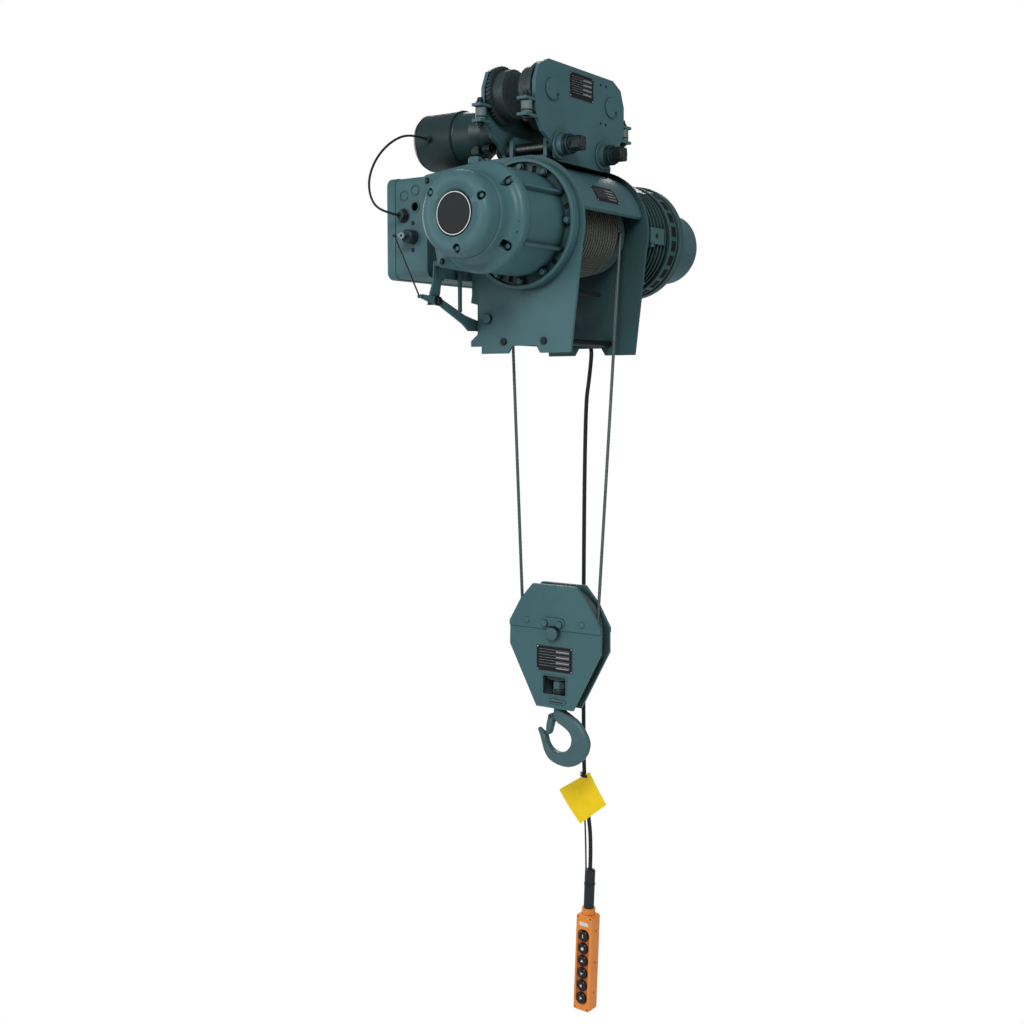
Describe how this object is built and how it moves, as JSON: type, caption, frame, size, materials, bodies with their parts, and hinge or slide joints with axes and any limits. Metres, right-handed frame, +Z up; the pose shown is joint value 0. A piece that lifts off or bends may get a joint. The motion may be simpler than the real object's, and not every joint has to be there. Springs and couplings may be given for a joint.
{
  "type": "electric wire rope hoist",
  "caption": "Electric wire rope hoist on a powered monorail trolley, with a rope drum, gearbox, motor, hook block and hanging push-button pendant.",
  "frame": {"origin": "middle of the beam's underside, above the middle of the trolley", "axes": "+X along the beam from the gearbox end to the motor end, +Y from the side seen to the control box side, +Z up"},
  "size_m": [1.203, 0.62, 2.9671],
  "materials": {
    "hoist_paint": "satin grey-green enamel",
    "dark_paint": "dark grey-green enamel",
    "shaft_steel": "dark oiled steel",
    "wheel_iron": "painted casting, bright running surface",
    "drum_iron": "machined casting",
    "rope_steel": "greased stranded wire",
    "bronze": "plain bearing metal",
    "bare_steel": "galvanised strip",
    "black_plastic": "moulded black",
    "cable_rubber": "smooth black sheath",
    "orange_plastic": "moulded orange",
    "buffer_rubber": "light grey moulded"
  },
  "bodies": {
    "hoist": {"trolley_plate_near": "hoist_paint", "trolley_plate_far": "hoist_paint", "side_buffers": "buffer_rubber", "trolley_gearbox": "hoist_paint", "trolley_motor": "dark_paint", "suspension_shafts": "shaft_steel", "shaft_collars": "dark_paint", "hanger_bracket": "hoist_paint", "frame_plate_front": "hoist_paint", "frame_plate_rear": "hoist_paint", "top_cover": "hoist_paint", "tie_rods": "shaft_steel", "rope_anchor": "dark_paint", "drum_bearings": "bronze", "gearbox_housing": "hoist_paint", "gearbox_cover": "hoist_paint", "gearbox_cap": "hoist_paint", "gearbox_bolts": "shaft_steel", "motor_housing": "hoist_paint", "motor_stator": "drum_iron", "motor_end_cover": "hoist_paint", "control_box": "hoist_paint", "control_box_cover": "hoist_paint", "limit_switch": "black_plastic", "arm_bracket": "hoist_paint", "motor_cable": "cable_rubber", "rope_fall_drum": "rope_steel", "rope_fall_anchor": "rope_steel", "pendant_cable": "cable_rubber", "pendant_sleeve": "cable_rubber", "pendant_shell": "orange_plastic", "pendant_back": "orange_plastic"},
    "drum": {"drum": "drum_iron", "wound_rope": "rope_steel"},
    "layshaft_first": {"layshaft_first": "shaft_steel"},
    "layshaft_second": {"layshaft_second": "shaft_steel"},
    "motor_rotor": {"motor_rotor": "shaft_steel"},
    "wheel_near_front": {"wheel_near_front": "wheel_iron"},
    "wheel_near_rear": {"wheel_near_rear": "wheel_iron"},
    "wheel_far_front": {"wheel_far_front": "wheel_iron"},
    "wheel_far_rear": {"wheel_far_rear": "wheel_iron"},
    "drive_gear": {"drive_gear": "shaft_steel"},
    "limit_arm": {"limit_arm": "bare_steel"},
    "limit_rod": {"limit_rod": "bare_steel"},
    "switch_lever": {"switch_lever": "bare_steel"},
    "hook_block": {"block_plates": "hoist_paint", "sheave_guards": "hoist_paint", "sheave_pin": "shaft_steel", "rope_loop": "rope_steel"},
    "sheave": {"sheave": "wheel_iron"},
    "crosshead": {"crosshead": "shaft_steel"},
    "hook": {"hook": "dark_paint", "hook_nut": "shaft_steel"},
    "hook_latch": {"hook_latch": "shaft_steel"},
    "button_1": {"button_1": "black_plastic"},
    "button_2": {"button_2": "black_plastic"},
    "button_3": {"button_3": "black_plastic"},
    "button_4": {"button_4": "black_plastic"},
    "button_5": {"button_5": "black_plastic"},
    "button_6": {"button_6": "black_plastic"}
  },
  "joints": [
    {"name": "hook_lift", "type": "slide", "parent": "hoist", "child": "hook_block", "axis": [0, 0, 1], "range_m": [0, 0.65], "deforming": ["rope_fall_drum", "rope_fall_anchor"]},
    {"name": "drum_spin", "type": "hinge", "parent": "hoist", "child": "drum", "pos_m": [0.025, 0, -0.292], "axis": [1, 0, 0], "range_deg": [-593, 0]},
    {"name": "layshaft_second_spin", "type": "hinge", "parent": "hoist", "child": "layshaft_second", "pos_m": [-0.34, 0.05629, -0.2595], "axis": [1, 0, 0], "range_deg": [0, 2275]},
    {"name": "layshaft_first_spin", "type": "hinge", "parent": "hoist", "child": "layshaft_first", "pos_m": [-0.36, 0, -0.227], "axis": [1, 0, 0], "range_deg": [-8746, 0]},
    {"name": "motor_spin", "type": "hinge", "parent": "hoist", "child": "motor_rotor", "pos_m": [0.3, 0, -0.292], "axis": [1, 0, 0], "range_deg": [0, 33635]},
    {"name": "sheave_spin", "type": "hinge", "parent": "hook_block", "child": "sheave", "pos_m": [0.033, 0, -1.52], "axis": [1, 0, 0], "range_deg": [-273, 0]},
    {"name": "hook_tilt", "type": "hinge", "parent": "hook_block", "child": "crosshead", "pos_m": [0.033, 0, -1.732], "axis": [1, 0, 0], "range_deg": [-10, 10]},
    {"name": "hook_swivel", "type": "hinge", "parent": "crosshead", "child": "hook", "pos_m": [0.033, 0, -1.74], "axis": [0, 0, 1], "continuous": true},
    {"name": "latch_swing", "type": "hinge", "parent": "hook", "child": "hook_latch", "pos_m": [0.033, 0.0269, -1.78899], "axis": [1, 0, 0], "range_deg": [-35, 0], "stiffness_Nm_per_rad": 0.2},
    {"name": "limit_arm_swing", "type": "hinge", "parent": "hoist", "child": "limit_arm", "pos_m": [-0.33, 0.19, -0.513], "axis": [0, 1, 0], "range_deg": [-10, 0]},
    {"name": "limit_rod_swing", "type": "hinge", "parent": "limit_arm", "child": "limit_rod", "pos_m": [-0.4, 0.19, -0.504], "axis": [0, 1, 0], "range_deg": [0, 10]},
    {"name": "switch_lever_swing", "type": "hinge", "parent": "hoist", "child": "switch_lever", "pos_m": [-0.381, 0.278, -0.325], "axis": [1, 0, 0], "range_deg": [-34, 0]},
    {"name": "wheel_near_front_spin", "type": "hinge", "parent": "hoist", "child": "wheel_near_front", "pos_m": [-0.16, -0.06, 0.0825], "axis": [0, 1, 0], "continuous": true},
    {"name": "wheel_near_rear_spin", "type": "hinge", "parent": "hoist", "child": "wheel_near_rear", "pos_m": [0.16, -0.06, 0.0825], "axis": [0, 1, 0], "continuous": true},
    {"name": "wheel_far_front_spin", "type": "hinge", "parent": "hoist", "child": "wheel_far_front", "pos_m": [-0.16, 0.06, 0.0825], "axis": [0, 1, 0], "continuous": true},
    {"name": "wheel_far_rear_spin", "type": "hinge", "parent": "hoist", "child": "wheel_far_rear", "pos_m": [0.16, 0.06, 0.0825], "axis": [0, 1, 0], "continuous": true},
    {"name": "drive_gear_spin", "type": "hinge", "parent": "hoist", "child": "drive_gear", "pos_m": [0, 0.09, 0.0825], "axis": [0, 1, 0], "continuous": true},
    {"name": "button_1_press", "type": "slide", "parent": "hoist", "child": "button_1", "axis": [1, 0, 0], "range_m": [0, 0.004], "stiffness_N_per_m": 400},
    {"name": "button_2_press", "type": "slide", "parent": "hoist", "child": "button_2", "axis": [1, 0, 0], "range_m": [0, 0.004], "stiffness_N_per_m": 400},
    {"name": "button_3_press", "type": "slide", "parent": "hoist", "child": "button_3", "axis": [1, 0, 0], "range_m": [0, 0.004], "stiffness_N_per_m": 400},
    {"name": "button_4_press", "type": "slide", "parent": "hoist", "child": "button_4", "axis": [1, 0, 0], "range_m": [0, 0.004], "stiffness_N_per_m": 400},
    {"name": "button_5_press", "type": "slide", "parent": "hoist", "child": "button_5", "axis": [1, 0, 0], "range_m": [0, 0.004], "stiffness_N_per_m": 400},
    {"name": "button_6_press", "type": "slide", "parent": "hoist", "child": "button_6", "axis": [1, 0, 0], "range_m": [0, 0.004], "stiffness_N_per_m": 400}
  ],
  "couplings": [
    {"joint": "drum_spin", "follows": "hook_lift", "rad_per_m": -15.873},
    {"joint": "layshaft_second_spin", "follows": "hook_lift", "rad_per_m": 61.05},
    {"joint": "layshaft_first_spin", "follows": "hook_lift", "rad_per_m": -234.81},
    {"joint": "motor_spin", "follows": "hook_lift", "rad_per_m": 903.11},
    {"joint": "sheave_spin", "follows": "hook_lift", "rad_per_m": -7.2993},
    {"joint": "limit_rod_swing", "follows": "limit_arm_swing", "ratio": -1},
    {"joint": "switch_lever_swing", "follows": "limit_arm_swing", "ratio": 3.4},
    {"joint": "drive_gear_spin", "follows": "wheel_far_front_spin", "ratio": -1.1053},
    {"joint": "wheel_far_rear_spin", "follows": "wheel_far_front_spin", "ratio": 1}
  ]
}
